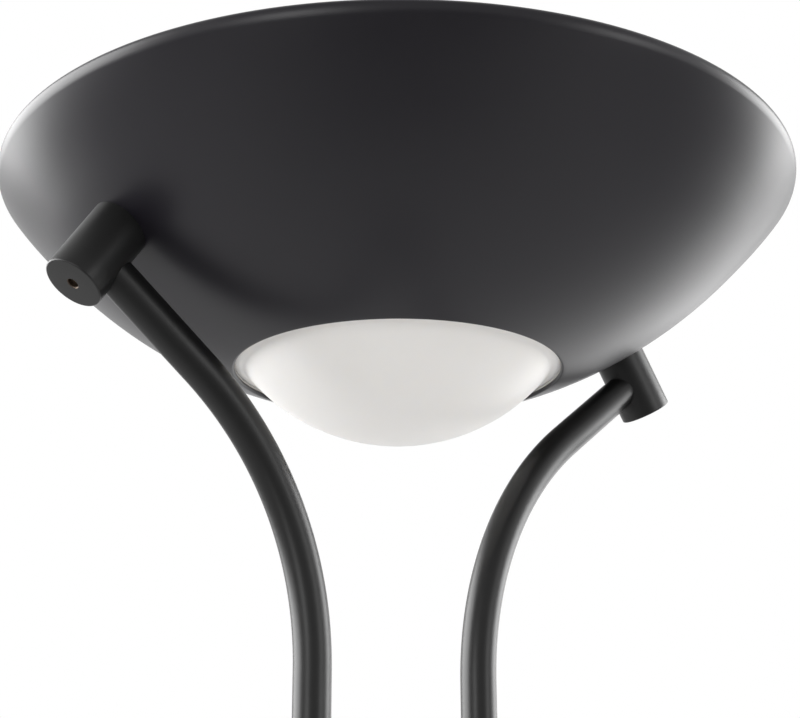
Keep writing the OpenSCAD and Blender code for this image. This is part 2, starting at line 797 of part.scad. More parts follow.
// From the cord inlet through the base and up the right tube to the dimmer
module lower_wire() {
    floor_z = pad_t + wire_r + seat;
    turn = 12;
    side_z = bridge_h - wire_r - seat;
    color("dimgray") wire([
        [0, base_r - inlet_l - 5, inlet_h - 2], [0, pocket_in_r + turn, floor_z],
        [0, turn, floor_z], [turn / 3, turn / 3, floor_z], [turn, 0, floor_z],
        [tube_x - turn / 4, 0, floor_z], [tube_x, 0, floor_z + turn / 4],
        [tube_x, 0, side_z - turn / 2], [tube_x - turn / 2, 0, side_z],
        [dimmer_w / 2 + seat, 0, side_z]]);
}

// Point on the right barrel's axis, t out from the bowl
function on_barrel(t) = [barrel_seat_r + t * sin(barrel_tilt), 0, seat_z - t * cos(barrel_tilt)];

// Point on the right tube's axis after it has turned by a degrees
function on_bend(a) = [tube_x + bend_r * (1 - cos(a)), 0, bend_z + bend_r * sin(a)];

// From the dimmer up the right tube, through its barrel and along the bracket to the cluster
module upper_wire() {
    turn = 6;
    side_z = bridge_h + wire_r + seat;
    nipple_end = -bowl_wall - saddle_t - strip_t - nut_t - 2 - 2 * wire_r;
    rest_z = bracket_top + wire_r + 2 * slip;
    joint_turn = 4;
    color("dimgray") wire(concat(
        [[dimmer_w / 2 + seat, 0, side_z], [tube_x - turn, 0, side_z],
            [tube_x, 0, side_z + turn]],
        [for (a = [0:bend_angle / 10:bend_angle + 0.1]) on_bend(a)],
        [[joint_x, 0, joint_z] - joint_turn * [sin(bend_angle), 0, cos(bend_angle)]],
        [on_barrel(tube_entry - joint_turn), on_barrel(nipple_end),
            [bracket_bend_x - 14, 0, rest_z], [cluster_r + 10, 0, rest_z],
            [cluster_r + 2, 0, wire_entry_z], [cluster_r - cluster_wall - 2, 0, wire_entry_z]]));
}

module wire_clip() {
    clip_r = wire_r + 1.2;
    color("white") translate([clip_x, 0, bracket_top]) rotate([90, 0, 90])
        linear_extrude(8, center = true) difference() {
            union() {
                translate([0, wire_r + 2 * slip]) circle(r = clip_r);
                translate([-clip_r, slip]) square([2 * clip_r, wire_r]);
                translate([-clip_r - 5, slip]) square([2 * clip_r + 10, 1.5]);
            }
            translate([0, wire_r + 2 * slip]) circle(r = wire_r + slip);
            translate([-wire_r - slip, -cut]) square([2 * (wire_r + slip), wire_r + cut]);
            translate([-20, -20 + slip]) square([40, 20]);
        }
}

base_pad();
base_weight();
base_cover();
cord_bushing();
foot_collar_left();
foot_collar_right();
foot_nipples();
foot_washers();
foot_nuts();
collar_screws();
pole_lower_left();
pole_lower_right();
pole_middle_left();
pole_middle_right();
pole_inserts();
pole_nipples();
arm_left();
arm_right();
bridge_tube();
bridge_plug_left();
bridge_plug_right();
bridge_screws();
dimmer_body();
dimmer_nut();
dimmer_shaft();
dimmer_knob();
barrel_left();
barrel_right();
barrel_screws();
bowl_nipples();
saddle_washers();
bowl_nuts();
bowl_shade();
diffuser_dome();
diffuser_gasket();
lamp_bracket();
cluster_body();
cluster_lid();
cluster_stem();
cluster_nuts();
socket_nipples();
socket_front();
socket_rear();
screw_shell_front();
screw_shell_rear();
socket_contacts();
bulb_cap_front();
bulb_cap_rear();
bulb_tips();
bulb_body_front();
bulb_body_rear();
bulb_globe_front();
bulb_globe_rear();
lower_wire();
upper_wire();
wire_clip();
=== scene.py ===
# %% [markdown]
# # A torchiere floor lamp
# The lamp is a shallow spun-metal bowl that throws its light at the ceiling. An opal
# glass in the bowl's bottom lets a little light down, and two bent tubes carry the bowl
# from a heavy round base. The solids come in as a fixed frame, and this lesson dresses
# them: large, plain surfaces are built again with many smooth faces, and every piece
# gets a finish made of nodes. All lengths are in metres.

# %% Load the frame
import json
import math
import bmesh
import bpy
from mathutils import Matrix, Vector


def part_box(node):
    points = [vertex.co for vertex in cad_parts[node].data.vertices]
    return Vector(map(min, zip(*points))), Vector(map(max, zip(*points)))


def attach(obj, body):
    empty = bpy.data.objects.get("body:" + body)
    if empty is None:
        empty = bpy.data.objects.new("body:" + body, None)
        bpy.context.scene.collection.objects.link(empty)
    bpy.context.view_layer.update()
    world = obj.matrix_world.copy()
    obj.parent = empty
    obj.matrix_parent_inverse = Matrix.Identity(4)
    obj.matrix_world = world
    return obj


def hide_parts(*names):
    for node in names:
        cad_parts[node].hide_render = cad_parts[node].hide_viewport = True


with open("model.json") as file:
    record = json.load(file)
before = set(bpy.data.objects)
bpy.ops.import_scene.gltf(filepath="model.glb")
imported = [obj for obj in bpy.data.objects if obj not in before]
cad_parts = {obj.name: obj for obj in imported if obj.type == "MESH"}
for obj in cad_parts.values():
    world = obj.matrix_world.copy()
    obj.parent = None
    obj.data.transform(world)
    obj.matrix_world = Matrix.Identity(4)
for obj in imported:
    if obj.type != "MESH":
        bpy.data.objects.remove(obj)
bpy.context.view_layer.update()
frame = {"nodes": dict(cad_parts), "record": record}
scene = bpy.context.scene

# %% [markdown]
# ## The lamp's own sizes
# Heights and widths are read from the boxes round the solids, so that the dressed pieces
# stay on them. Only the shapes inside a box are given as numbers, each with its piece.

# %% Sizes that the boxes give
rim_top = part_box("bowl_shade")[1].z
rim_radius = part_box("bowl_shade")[1].x
base_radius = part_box("base_cover")[1].x
base_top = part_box("base_cover")[1].z
pole_x = (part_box("pole_lower_right")[0].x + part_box("pole_lower_right")[1].x) / 2
pole_radius = (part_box("pole_lower_right")[1].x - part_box("pole_lower_right")[0].x) / 2
lower_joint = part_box("pole_lower_right")[1].z
upper_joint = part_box("pole_middle_right")[1].z
print(f"rim {rim_radius:.3f} at {rim_top:.3f}, poles {pole_radius:.4f} at {pole_x:.3f}")

# %% [markdown]
# ## The camera
# The lamp is looked at from below, from the height of a person's shoulders and close
# enough for the bowl to look large. A lens of 66 mm on a 36 mm sensor gives this view.
# The camera is turned first sideways, then upwards, and last a hair about its own axis.

# %% Place the camera
stand_off, eye_height = 0.75387, 1.46635
stand_turn = 0.6342        # how far round from the front, towards -X, the camera stands
heading, pitch, roll = stand_turn + 0.0016, 0.3129, -0.0032
camera = bpy.data.objects.new("camera", bpy.data.cameras.new("camera"))
camera.data.lens, camera.data.sensor_width = 65.97, 36.0
camera.data.clip_start, camera.data.clip_end = 0.01, 40.0
spot = Vector((-stand_off * math.sin(stand_turn), -stand_off * math.cos(stand_turn),
               eye_height))
aim = Vector((math.sin(heading) * math.cos(pitch), math.cos(heading) * math.cos(pitch),
              math.sin(pitch)))
level = Vector((math.cos(heading), -math.sin(heading), 0))
upright = level.cross(aim)
right = math.cos(roll) * level + math.sin(roll) * upright
above = math.cos(roll) * upright - math.sin(roll) * level
camera.matrix_world = Matrix((
    (right.x, above.x, -aim.x, spot.x), (right.y, above.y, -aim.y, spot.y),
    (right.z, above.z, -aim.z, spot.z), (0, 0, 0, 1)))
scene.collection.objects.link(camera)
scene.camera = camera
scene.view_settings.view_transform = "Standard"
print("camera at", [round(c, 3) for c in spot], "looking up", round(math.degrees(pitch), 1))

# %% [markdown]
# ## The room
# Black satin paint shows little colour of its own: nearly all that is seen of it is the
# room, mirrored softly. So the room matters more than the paint. Behind the lamp and at
# its sides all is white, and on the viewer's side the room is dim, which keeps the middle
# of the bowl dark. The world is white where it is seen directly, and it only lights
# surfaces with a dimmer, plain glow, so that white pieces aren't washed out.

# %% Helpers for nodes
def node(tree, kind, plugs=None, **settings):
    """A node with its settings, and its plugs filled by values or by other sockets."""
    made = tree.nodes.new("ShaderNode" + kind)
    for key, value in settings.items():
        setattr(made, key, value)
    for plug, value in (plugs or {}).items():
        socket = made.inputs[plug]
        if isinstance(value, bpy.types.NodeSocket):
            tree.links.new(value, socket)
        else:
            socket.default_value = value
    return made


def maths(tree, operation, *values, **settings):
    """The number that a Math node makes of two or three numbers."""
    return node(tree, "Math", dict(enumerate(values)), operation=operation,
                **settings).outputs[0]


def ramp(tree, value, reach, spread, shape="SMOOTHSTEP"):
    """The value's stretch from reach[0] to reach[1], spread to a new stretch."""
    return node(tree, "MapRange", {"Value": value, "From Min": reach[0],
                                   "From Max": reach[1], "To Min": spread[0],
                                   "To Max": spread[1]},
                interpolation_type=shape).outputs[0]


def noise(tree, where, scale, detail, roughness=0.5):
    """Noise from 0 to 1, with about scale bumps per metre."""
    return node(tree, "TexNoise", {"Vector": where, "Scale": scale, "Detail": detail,
                                   "Roughness": roughness}).outputs[0]


print("helpers: node, maths, ramp and noise")

# %% The world
viewer_side = Vector((-math.sin(heading), -math.cos(heading), 0))
world = bpy.data.worlds.new("studio")
scene.world = world
world.use_nodes = True
air = world.node_tree
air.nodes.clear()
rays = node(air, "LightPath").outputs
toward = node(air, "TexCoord").outputs["Generated"]
frontal = node(air, "VectorMath", {0: toward, 1: viewer_side}, operation="DOT_PRODUCT")
gleam = ramp(air, frontal.outputs["Value"], (-0.2, 0.75), (0.95, 0.5))
white = node(air, "Background", {"Color": (1, 1, 1, 1), "Strength": 1.0})
mirrored = node(air, "Background", {"Color": (1, 1, 1, 1), "Strength": gleam})
glow = node(air, "Background", {"Color": (1.0, 0.99, 0.975, 1), "Strength": 0.60})
clear = maths(air, "MAXIMUM", rays["Is Camera Ray"], rays["Is Transmission Ray"])
lit = node(air, "MixShader", {0: rays["Is Glossy Ray"], 1: glow.outputs[0],
                              2: mirrored.outputs[0]})
shown = node(air, "MixShader", {0: clear, 1: lit.outputs[0], 2: white.outputs[0]})
node(air, "OutputWorld", {"Surface": shown.outputs[0]})
print("world:", len(air.nodes), "nodes")

# %% The floor and the lamps
lamp_aim = Vector((0, 0, 1.65))    # a point inside the head, which every soft box faces
floor_radius = 9.0
floor_corners = 64


def soft_box(name, bearing, reach, height, wide, tall, brightness):
    """A studio lamp that faces the floor lamp's head. bearing is in degrees from the back (+Y)
    towards +X, and brightness is how bright its face looks next to white, which is 1."""
    lamp = bpy.data.lights.new(name, "AREA")
    lamp.shape, lamp.size, lamp.size_y = "RECTANGLE", wide, tall
    lamp.energy = brightness * math.pi * wide * tall
    piece = bpy.data.objects.new(name, lamp)
    turn = math.radians(bearing)
    piece.location = (reach * math.sin(turn), reach * math.cos(turn), height)
    facing = lamp_aim - piece.location
    piece.rotation_euler = facing.to_track_quat("-Z", "Y").to_euler()
    piece.visible_camera = False
    scene.collection.objects.link(piece)


ground = bpy.data.meshes.new("studio_floor")
floor_turns = [math.tau * k / floor_corners for k in range(floor_corners)]
ground.from_pydata([(floor_radius * math.cos(a), floor_radius * math.sin(a), 0)
                    for a in floor_turns], [], [tuple(range(floor_corners))])
floor = bpy.data.objects.new("studio_floor", ground)
scene.collection.objects.link(floor)
# name, bearing, reach, height, width and height of the face, brightness
soft_box("rim_left", -44, 2.7, 2.25, 3.2, 2.1, 6.0)
soft_box("rim_right", 104, 2.4, 2.10, 1.5, 1.3, 6.2)
soft_box("low_right", 73, 3.2, 1.55, 1.6, 1.3, 1.6)
soft_box("back_wall", 39, 3.4, 2.75, 1.5, 0.8, 2.6)
soft_box("strip_left", -118, 2.2, 1.5, 0.6, 1.2, 3.4)
soft_box("strip_right", 160, 2.2, 1.5, 0.6, 1.2, 2.8)
print("one floor and six lamps")

# %% [markdown]
# ## Effects that several finishes share
# Each effect is a node group, built once. A group gives out only a height, a mask or a
# normal, and each finish decides what to do with it. The small helpers below keep the
# cells short: one makes a group with its sockets, and one gives its own two end nodes.

# %% Helpers for groups
def effect(name, inputs, outputs):
    """A new group. inputs are (name, value) and outputs are names, all of them numbers."""
    tree = bpy.data.node_groups.new(name, "ShaderNodeTree")
    for label, value in inputs:
        socket = tree.interface.new_socket(name=label, in_out="INPUT",
                                           socket_type="NodeSocketFloat")
        socket.default_value = value
    for label in outputs:
        tree.interface.new_socket(name=label, in_out="OUTPUT", socket_type="NodeSocketFloat")
    tree.nodes.new("NodeGroupInput")
    tree.nodes.new("NodeGroupOutput")
    print("effect:", name)
    return tree


def ends(tree):
    """A group's own input and output nodes."""
    return tree.nodes["Group Input"].outputs, tree.nodes["Group Output"].inputs


print("helpers: effect and ends")

# %% [markdown]
# ### Powder-coat skin
# Powder paint melts to a skin with a fine pebble and a slow, shallow waviness. Both are
# noise in the object's own space, one at half a millimetre and one at eight. A third
# noise, a hand's width across, is given out as a mask for clouds in gloss and colour.

# %% Group: powder skin
powder_skin = effect("powder_skin", [("Pebble", 0.5), ("Wave", 0.5)], ["Height", "Cloud"])
given, out = ends(powder_skin)
where = node(powder_skin, "TexCoord").outputs["Object"]
pebble = noise(powder_skin, where, 1700.0, 2.0)
wave = noise(powder_skin, where, 120.0, 1.0)
cloud = noise(powder_skin, where, 9.0, 3.0, roughness=0.6)
fine = maths(powder_skin, "MULTIPLY", pebble, given["Pebble"])
height = maths(powder_skin, "MULTIPLY_ADD", wave, given["Wave"], fine)
powder_skin.links.new(height, out["Height"])
powder_skin.links.new(cloud, out["Cloud"])

# %% [markdown]
# ### Rubbed edges
# Paint and plating go thin on edges. The Bevel node gives the normal of an edge as if
# it were rounded. Where that differs from the true normal there is an edge, and noise
# breaks it up, so that only parts of it are rubbed.

# %% Group: rubbed edge
rubbed_edge = effect("rubbed_edge", [("Width", 0.0006), ("Amount", 0.5)], ["Mask"])
given, out = ends(rubbed_edge)
soft = node(rubbed_edge, "Bevel", {"Radius": given["Width"]}, samples=4)
true = node(rubbed_edge, "NewGeometry").outputs["Normal"]
alike = node(rubbed_edge, "VectorMath", {0: soft.outputs[0], 1: true},
             operation="DOT_PRODUCT").outputs["Value"]
where = node(rubbed_edge, "TexCoord").outputs["Object"]
edge = ramp(rubbed_edge, alike, (0.995, 0.86), (0.0, 1.0), "LINEAR")
patchy = ramp(rubbed_edge, noise(rubbed_edge, where, 260.0, 3.0), (0.42, 0.62), (0.15, 1.0),
              "LINEAR")
worn = maths(rubbed_edge, "MULTIPLY", edge, patchy)
mask = maths(rubbed_edge, "MULTIPLY", worn, given["Amount"], use_clamp=True)
rubbed_edge.links.new(mask, out["Mask"])

# %% [markdown]
# ### Settled dust
# Dust lies on what faces up. The mask is the upward part of the normal times a noise
# that is both coarse and fine, so that dust gathers in drifts and leaves sides and
# undersides clean.

# %% Group: settled dust
settled_dust = effect("settled_dust", [("Amount", 0.3)], ["Mask"])
given, out = ends(settled_dust)
faces = node(settled_dust, "SeparateXYZ",
             {0: node(settled_dust, "NewGeometry").outputs["Normal"]}).outputs["Z"]
where = node(settled_dust, "TexCoord").outputs["Object"]
drift = noise(settled_dust, where, 28.0, 6.0, roughness=0.7)
lying = ramp(settled_dust, faces, (0.25, 1.0), (0.0, 1.0), "LINEAR")
heaps = ramp(settled_dust, drift, (0.35, 0.75), (0.2, 1.0), "LINEAR")
settled = maths(settled_dust, "MULTIPLY", lying, heaps)
mask = maths(settled_dust, "MULTIPLY", settled, given["Amount"], use_clamp=True)
settled_dust.links.new(mask, out["Mask"])

# %% [markdown]
# ### Tool rings and drawn lines
# A spun or turned surface keeps fine rings from the tool. They depend only on the
# distance from the upright axis and on the height, so noise is read at that pair of
# numbers. Drawn or brushed metal has lines along its length instead: noise that is
# squeezed along one axis.

# %% Group: spin rings
spin_rings = effect("spin_rings", [("Rings per Metre", 900.0)], ["Height"])
given, out = ends(spin_rings)
where = node(spin_rings, "SeparateXYZ", {0: node(spin_rings, "TexCoord").outputs["Object"]})
flat = node(spin_rings, "CombineXYZ", {"X": where.outputs["X"], "Y": where.outputs["Y"]})
away = node(spin_rings, "VectorMath", {0: flat.outputs[0]}, operation="LENGTH")
pair = node(spin_rings, "CombineXYZ", {"X": away.outputs["Value"], "Y": where.outputs["Z"]})
ring = noise(spin_rings, pair.outputs[0], given["Rings per Metre"], 3.0)
spin_rings.links.new(ring, out["Height"])

# %% Group: drawn lines
drawn_lines = effect("drawn_lines", [("Along X", 20.0), ("Along Y", 900.0),
                                     ("Along Z", 900.0)], ["Height"])
given, out = ends(drawn_lines)
where = node(drawn_lines, "TexCoord").outputs["Object"]
squeeze = node(drawn_lines, "CombineXYZ", {"X": given["Along X"], "Y": given["Along Y"],
                                           "Z": given["Along Z"]})
scaled = node(drawn_lines, "VectorMath", {0: where, 1: squeeze.outputs[0]},
              operation="MULTIPLY")
line = noise(drawn_lines, scaled.outputs[0], 1.0, 4.0, roughness=0.65)
drawn_lines.links.new(line, out["Height"])

# %% [markdown]
# ## Finishes
# Every finish starts from a Principled shader whose plain values are set on its own
# sockets. Other helpers place a shared effect, spread a mask between two colours or two
# roughnesses, and turn a height into a bumped normal.

# %% Helpers for finishes
finishes = {}


def finish(name, **plain):
    """A new material with the plain values of its Principled shader."""
    made = bpy.data.materials.new(name)
    made.use_nodes = True
    tree = made.node_tree
    shader = tree.nodes["Principled BSDF"]
    for key, value in plain.items():
        socket = shader.inputs[key.replace("_", " ").title().replace("Ior", "IOR")]
        socket.default_value = (*value, 1) if isinstance(value, tuple) else value
    finishes[name] = made
    return tree, shader


def use(tree, group, **values):
    """A shared effect, with its own values."""
    placed = tree.nodes.new("ShaderNodeGroup")
    placed.node_tree = group
    for key, value in values.items():
        placed.inputs[key.replace("_", " ")].default_value = value
    return placed.outputs


def between(tree, mask, low, high):
    """A colour or number that goes from low to high as the mask goes from 0 to 1."""
    if isinstance(low, (int, float)):
        return ramp(tree, mask, (0.0, 1.0), (low, high), "LINEAR")
    mixed = tree.nodes.new("ShaderNodeMix")
    mixed.data_type = "RGBA"
    tree.links.new(mask, mixed.inputs["Factor"])
    for plug, value in ((6, low), (7, high)):
        if isinstance(value, bpy.types.NodeSocket):
            tree.links.new(value, mixed.inputs[plug])
        else:
            mixed.inputs[plug].default_value = (*value, 1)
    return mixed.outputs[2]


def emboss(tree, shader, height, strength, depth):
    """Bumps the shader's normal by a height that is depth metres from low to high."""
    bump = node(tree, "Bump", {"Height": height, "Strength": strength, "Distance": depth})
    tree.links.new(bump.outputs[0], shader.inputs["Normal"])


print("helpers: finish, use, between and emboss")

# %% [markdown]
# ### Black satin paint
# One powder paint is on the bowl, tubes, barrels, bridge, collars and base. It is
# nearly black with a satin gloss. Clouds change the gloss a little, edges are rubbed to
# a dark grey, and dust lies on what faces up.

# %% Paint for each painted piece
rings_per_metre = 420.0    # that the spinner's tool leaves under the paint


def black_paint(name, gloss, pebble, wave, wear, dust, rings=0.0, violet=0.0):
    """Black powder paint. gloss is (least, most) roughness, and violet is how much of a
    blue-violet cast is in the black."""
    tree, shader = finish(name, ior=1.5, coat_weight=0.0)
    skin = use(tree, powder_skin, Pebble=pebble, Wave=wave)
    rub = use(tree, rubbed_edge, Width=0.0005, Amount=wear)["Mask"]
    dusty = use(tree, settled_dust, Amount=dust)["Mask"]
    cast = (0.3 * violet, 0.0, violet)
    tones = [tuple(a + b for a, b in zip(tone, cast)) for tone in
             ((0.0052, 0.0052, 0.0054), (0.0074, 0.0073, 0.0072))]
    colour = between(tree, skin["Cloud"], *tones)
    colour = between(tree, rub, colour, (0.10, 0.098, 0.092))
    colour = between(tree, dusty, colour, (0.20, 0.195, 0.185))
    rough = between(tree, skin["Cloud"], *gloss)
    rough = maths(tree, "MULTIPLY_ADD", dusty, 0.5, rough, use_clamp=True)
    tree.links.new(colour, shader.inputs["Base Color"])
    tree.links.new(rough, shader.inputs["Roughness"])
    height = skin["Height"]
    if rings:
        turned = use(tree, spin_rings, Rings_per_Metre=rings_per_metre)["Height"]
        height = maths(tree, "MULTIPLY_ADD", turned, rings, height)
    emboss(tree, shader, height, 0.5, 0.00006)
    print("paint:", name)


black_paint("bowl_paint", (0.30, 0.40), 0.45, 0.35, 0.15, 0.10, rings=0.5, violet=0.0035)
black_paint("tube_paint", (0.32, 0.42), 0.25, 0.4, 0.2, 0.12)
black_paint("fitting_paint", (0.34, 0.44), 0.25, 0.3, 0.35, 0.12)
black_paint("base_paint", (0.34, 0.46), 0.6, 0.5, 0.3, 0.25, rings=0.3)

# %% [markdown]
# ### White enamel inside the bowl
# The inside is a reflector, so it is painted a half-matt white. Warm clouds and the
# tool's rings under the paint keep it from looking like paper.

# %% Enamel
tree, shader = finish("bowl_enamel", ior=1.5)
skin = use(tree, powder_skin, Pebble=0.4, Wave=0.6)
dusty = use(tree, settled_dust, Amount=0.5)["Mask"]
colour = between(tree, skin["Cloud"], (0.76, 0.755, 0.73), (0.82, 0.815, 0.80))
colour = between(tree, dusty, colour, (0.52, 0.50, 0.46))
tree.links.new(colour, shader.inputs["Base Color"])
tree.links.new(between(tree, skin["Cloud"], 0.42, 0.58), shader.inputs["Roughness"])
turned = use(tree, spin_rings, Rings_per_Metre=rings_per_metre)["Height"]
height = maths(tree, "MULTIPLY_ADD", turned, 0.6, skin["Height"])
emboss(tree, shader, height, 0.5, 0.00008)
print("enamel made")

# %% [markdown]
# ### Opal glass
# Opal glass is milky all through, and etched so that it has no sharp reflection. Light
# goes a few millimetres in and comes out again, which is what subsurface scattering
# does. A slow cloud in its whiteness is what pressed opal glass shows.

# %% Opal
tree, shader = finish("opal_glass", ior=1.5, subsurface_weight=0.35, subsurface_scale=0.004,
                      coat_weight=0.0)
shader.inputs["Subsurface Radius"].default_value = (1.0, 0.9, 0.75)
skin = use(tree, powder_skin, Pebble=0.5, Wave=0.3)
dusty = use(tree, settled_dust, Amount=0.35)["Mask"]
colour = between(tree, skin["Cloud"], (0.692, 0.682, 0.672), (0.747, 0.739, 0.731))
colour = between(tree, dusty, colour, (0.55, 0.53, 0.50))
tree.links.new(colour, shader.inputs["Base Color"])
tree.links.new(between(tree, skin["Cloud"], 0.34, 0.44), shader.inputs["Roughness"])
emboss(tree, shader, skin["Height"], 0.25, 0.00004)
print("opal made")

# %% [markdown]
# ### Metals
# Steel, zinc and brass parts are metal shaders whose roughness and bump follow drawn
# lines, with darker tarnish in clouds and brighter, rubbed edges.

# %% Metals
def metal(name, tones, gloss, lines=(60.0, 900.0, 900.0), dust=0.15):
    """Bare or plated metal. tones are its tarnished and its clean colour."""
    tree, shader = finish(name, metallic=1.0)
    skin = use(tree, powder_skin, Pebble=0.3, Wave=0.3)
    line = use(tree, drawn_lines, Along_X=lines[0], Along_Y=lines[1], Along_Z=lines[2])
    rub = use(tree, rubbed_edge, Width=0.0004, Amount=0.7)["Mask"]
    dusty = use(tree, settled_dust, Amount=dust)["Mask"]
    colour = between(tree, skin["Cloud"], *tones)
    colour = between(tree, rub, colour, tuple(min(1.0, 1.15 * c) for c in tones[1]))
    colour = between(tree, dusty, colour, (0.34, 0.33, 0.31))
    tree.links.new(colour, shader.inputs["Base Color"])
    tree.links.new(between(tree, line["Height"], *gloss), shader.inputs["Roughness"])
    height = maths(tree, "MULTIPLY_ADD", line["Height"], 0.6, skin["Height"])
    emboss(tree, shader, height, 0.4, 0.00003)
    print("metal:", name)


metal("pipe_brass", ((0.50, 0.36, 0.15), (0.74, 0.56, 0.27)), (0.28, 0.48),
      lines=(900.0, 900.0, 900.0))
metal("zinc_steel", ((0.50, 0.50, 0.49), (0.66, 0.66, 0.65)), (0.30, 0.52))
metal("screw_steel", ((0.42, 0.33, 0.20), (0.62, 0.50, 0.30)), (0.26, 0.44))
# bored_steel is near black, far darker than clean steel: painted shade inside the narrow
# set-screw hole.
metal("bored_steel", ((0.055, 0.042, 0.034), (0.16, 0.125, 0.10)), (0.40, 0.60), dust=0.0)
metal("bracket_zinc", ((0.55, 0.55, 0.54), (0.70, 0.70, 0.69)), (0.30, 0.50),
      lines=(30.0, 700.0, 700.0))
metal("shaft_steel", ((0.45, 0.45, 0.45), (0.62, 0.62, 0.62)), (0.22, 0.38))
metal("shell_brass", ((0.60, 0.45, 0.20), (0.80, 0.62, 0.32)), (0.22, 0.40))
metal("cap_nickel", ((0.58, 0.57, 0.54), (0.74, 0.73, 0.70)), (0.20, 0.38))
metal("weight_iron", ((0.07, 0.065, 0.06), (0.13, 0.125, 0.12)), (0.60, 0.85))

# %% [markdown]
# ### Moulded and fired parts
# Plastic, rubber, silicone and porcelain differ in colour, in gloss and in how coarse
# their skin is. Moulded parts have a fine spark-eroded grain, porcelain has a smooth
# glaze over a faintly uneven body.

# %% Plastics, rubber, porcelain
def moulded(name, tones, gloss, pebble, depth, wear=0.0, dust=0.2, rubbed=(0.5, 0.5, 0.5)):
    """A moulded, cast or fired part that isn't metal."""
    tree, shader = finish(name, ior=1.48)
    skin = use(tree, powder_skin, Pebble=pebble, Wave=0.4)
    rub = use(tree, rubbed_edge, Width=0.0004, Amount=wear)["Mask"]
    dusty = use(tree, settled_dust, Amount=dust)["Mask"]
    colour = between(tree, skin["Cloud"], *tones)
    colour = between(tree, rub, colour, rubbed)
    colour = between(tree, dusty, colour, (0.38, 0.36, 0.33))
    tree.links.new(colour, shader.inputs["Base Color"])
    tree.links.new(between(tree, skin["Cloud"], *gloss), shader.inputs["Roughness"])
    emboss(tree, shader, skin["Height"], 0.5, depth)
    print("moulded:", name)


moulded("pad_rubber", ((0.020, 0.020, 0.020), (0.035, 0.035, 0.034)), (0.75, 0.95), 0.9,
        0.0002)
moulded("bushing_rubber", ((0.014, 0.014, 0.014), (0.024, 0.024, 0.024)), (0.55, 0.75), 0.6,
        0.00008)
moulded("dimmer_case", ((0.05, 0.05, 0.052), (0.07, 0.07, 0.072)), (0.45, 0.6), 0.6, 0.00008)
moulded("knob_plastic", ((0.013, 0.013, 0.014), (0.020, 0.020, 0.021)), (0.36, 0.50), 0.7,
        0.00006, wear=0.4, rubbed=(0.05, 0.05, 0.05))
moulded("gasket_silicone", ((0.68, 0.67, 0.64), (0.76, 0.75, 0.72)), (0.5, 0.65), 0.4,
        0.00006)
moulded("cluster_white", ((0.70, 0.69, 0.66), (0.78, 0.77, 0.74)), (0.34, 0.48), 0.4,
        0.00005, wear=0.3)
moulded("socket_porcelain", ((0.74, 0.72, 0.67), (0.82, 0.80, 0.76)), (0.12, 0.24), 0.1,
        0.00006)
moulded("tip_black", ((0.010, 0.010, 0.011), (0.018, 0.018, 0.019)), (0.2, 0.35), 0.3,
        0.00004)
moulded("bulb_plastic", ((0.78, 0.78, 0.76), (0.84, 0.84, 0.82)), (0.34, 0.46), 0.4,
        0.00004)
moulded("wire_pvc", ((0.024, 0.024, 0.025), (0.038, 0.038, 0.038)), (0.38, 0.52), 0.4,
        0.00005)
moulded("clip_nylon", ((0.66, 0.65, 0.61), (0.76, 0.75, 0.71)), (0.40, 0.55), 0.4,
        0.00005)
moulded("bulb_glass", ((0.84, 0.84, 0.82), (0.89, 0.89, 0.875)), (0.30, 0.40), 0.3,
        0.00003)

# %% [markdown]
# ## Mesh helpers
# Nearly every piece of this lamp is round, so two helpers make most of it. One turns an
# outline about an axis, as a lathe does. The other sweeps a circle along a path, as a
# tube bender does. A third shows a finished mesh with smooth faces and crisp edges, in
# place of the plain solid that it dresses.

# %% Show a mesh
def show(name, mesh_data, finish_names, solid, crisp=35):
    """Puts a bmesh into the scene as a piece of the lamp, in place of a solid. Edges
    sharper than crisp degrees stay sharp."""
    bmesh.ops.remove_doubles(mesh_data, verts=mesh_data.verts, dist=1e-7)
    bmesh.ops.recalc_face_normals(mesh_data, faces=mesh_data.faces)
    mesh = bpy.data.meshes.new(name)
    mesh_data.to_mesh(mesh)
    mesh_data.free()
    mesh.shade_smooth()
    mesh.set_sharp_from_angle(angle=math.radians(crisp))
    for label in finish_names:
        mesh.materials.append(finishes[label])
    piece = bpy.data.objects.new(name, mesh)
    scene.collection.objects.link(piece)
    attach(piece, "lamp")
    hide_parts(solid)
    print(f"{name}: {len(mesh.polygons)} faces")


print("helper: show")

# %% Arcs and lathe
def arc(centre, radius, start, stop, steps):
    """Points of an arc in (radius, height), with angles in degrees from +radius."""
    return [(centre[0] + radius * math.cos(math.radians(start + (stop - start) * k / steps)),
             centre[1] + radius * math.sin(math.radians(start + (stop - start) * k / steps)))
            for k in range(steps + 1)]


def lathe(outline, steps=192, finish_of=None):
    """Turns a closed outline of (radius, height) points about the upright axis.
    finish_of gives the finish's number for the faces after each point."""
    turned = bmesh.new()
    rings = []
    for k in range(steps):
        a = math.tau * k / steps
        rings.append([turned.verts.new((r * math.cos(a), r * math.sin(a), z))
                      for r, z in outline])
    count = len(outline)
    for k in range(steps):
        for i in range(count):
            j = (i + 1) % count
            if outline[i][0] < 1e-9 and outline[j][0] < 1e-9:
                continue
            a, b = rings[k], rings[(k + 1) % steps]
            face = turned.faces.new([a[i], b[i], b[j], a[j]])
            if finish_of:
                face.material_index = finish_of(i)
    return turned


print("helpers: arc and lathe")

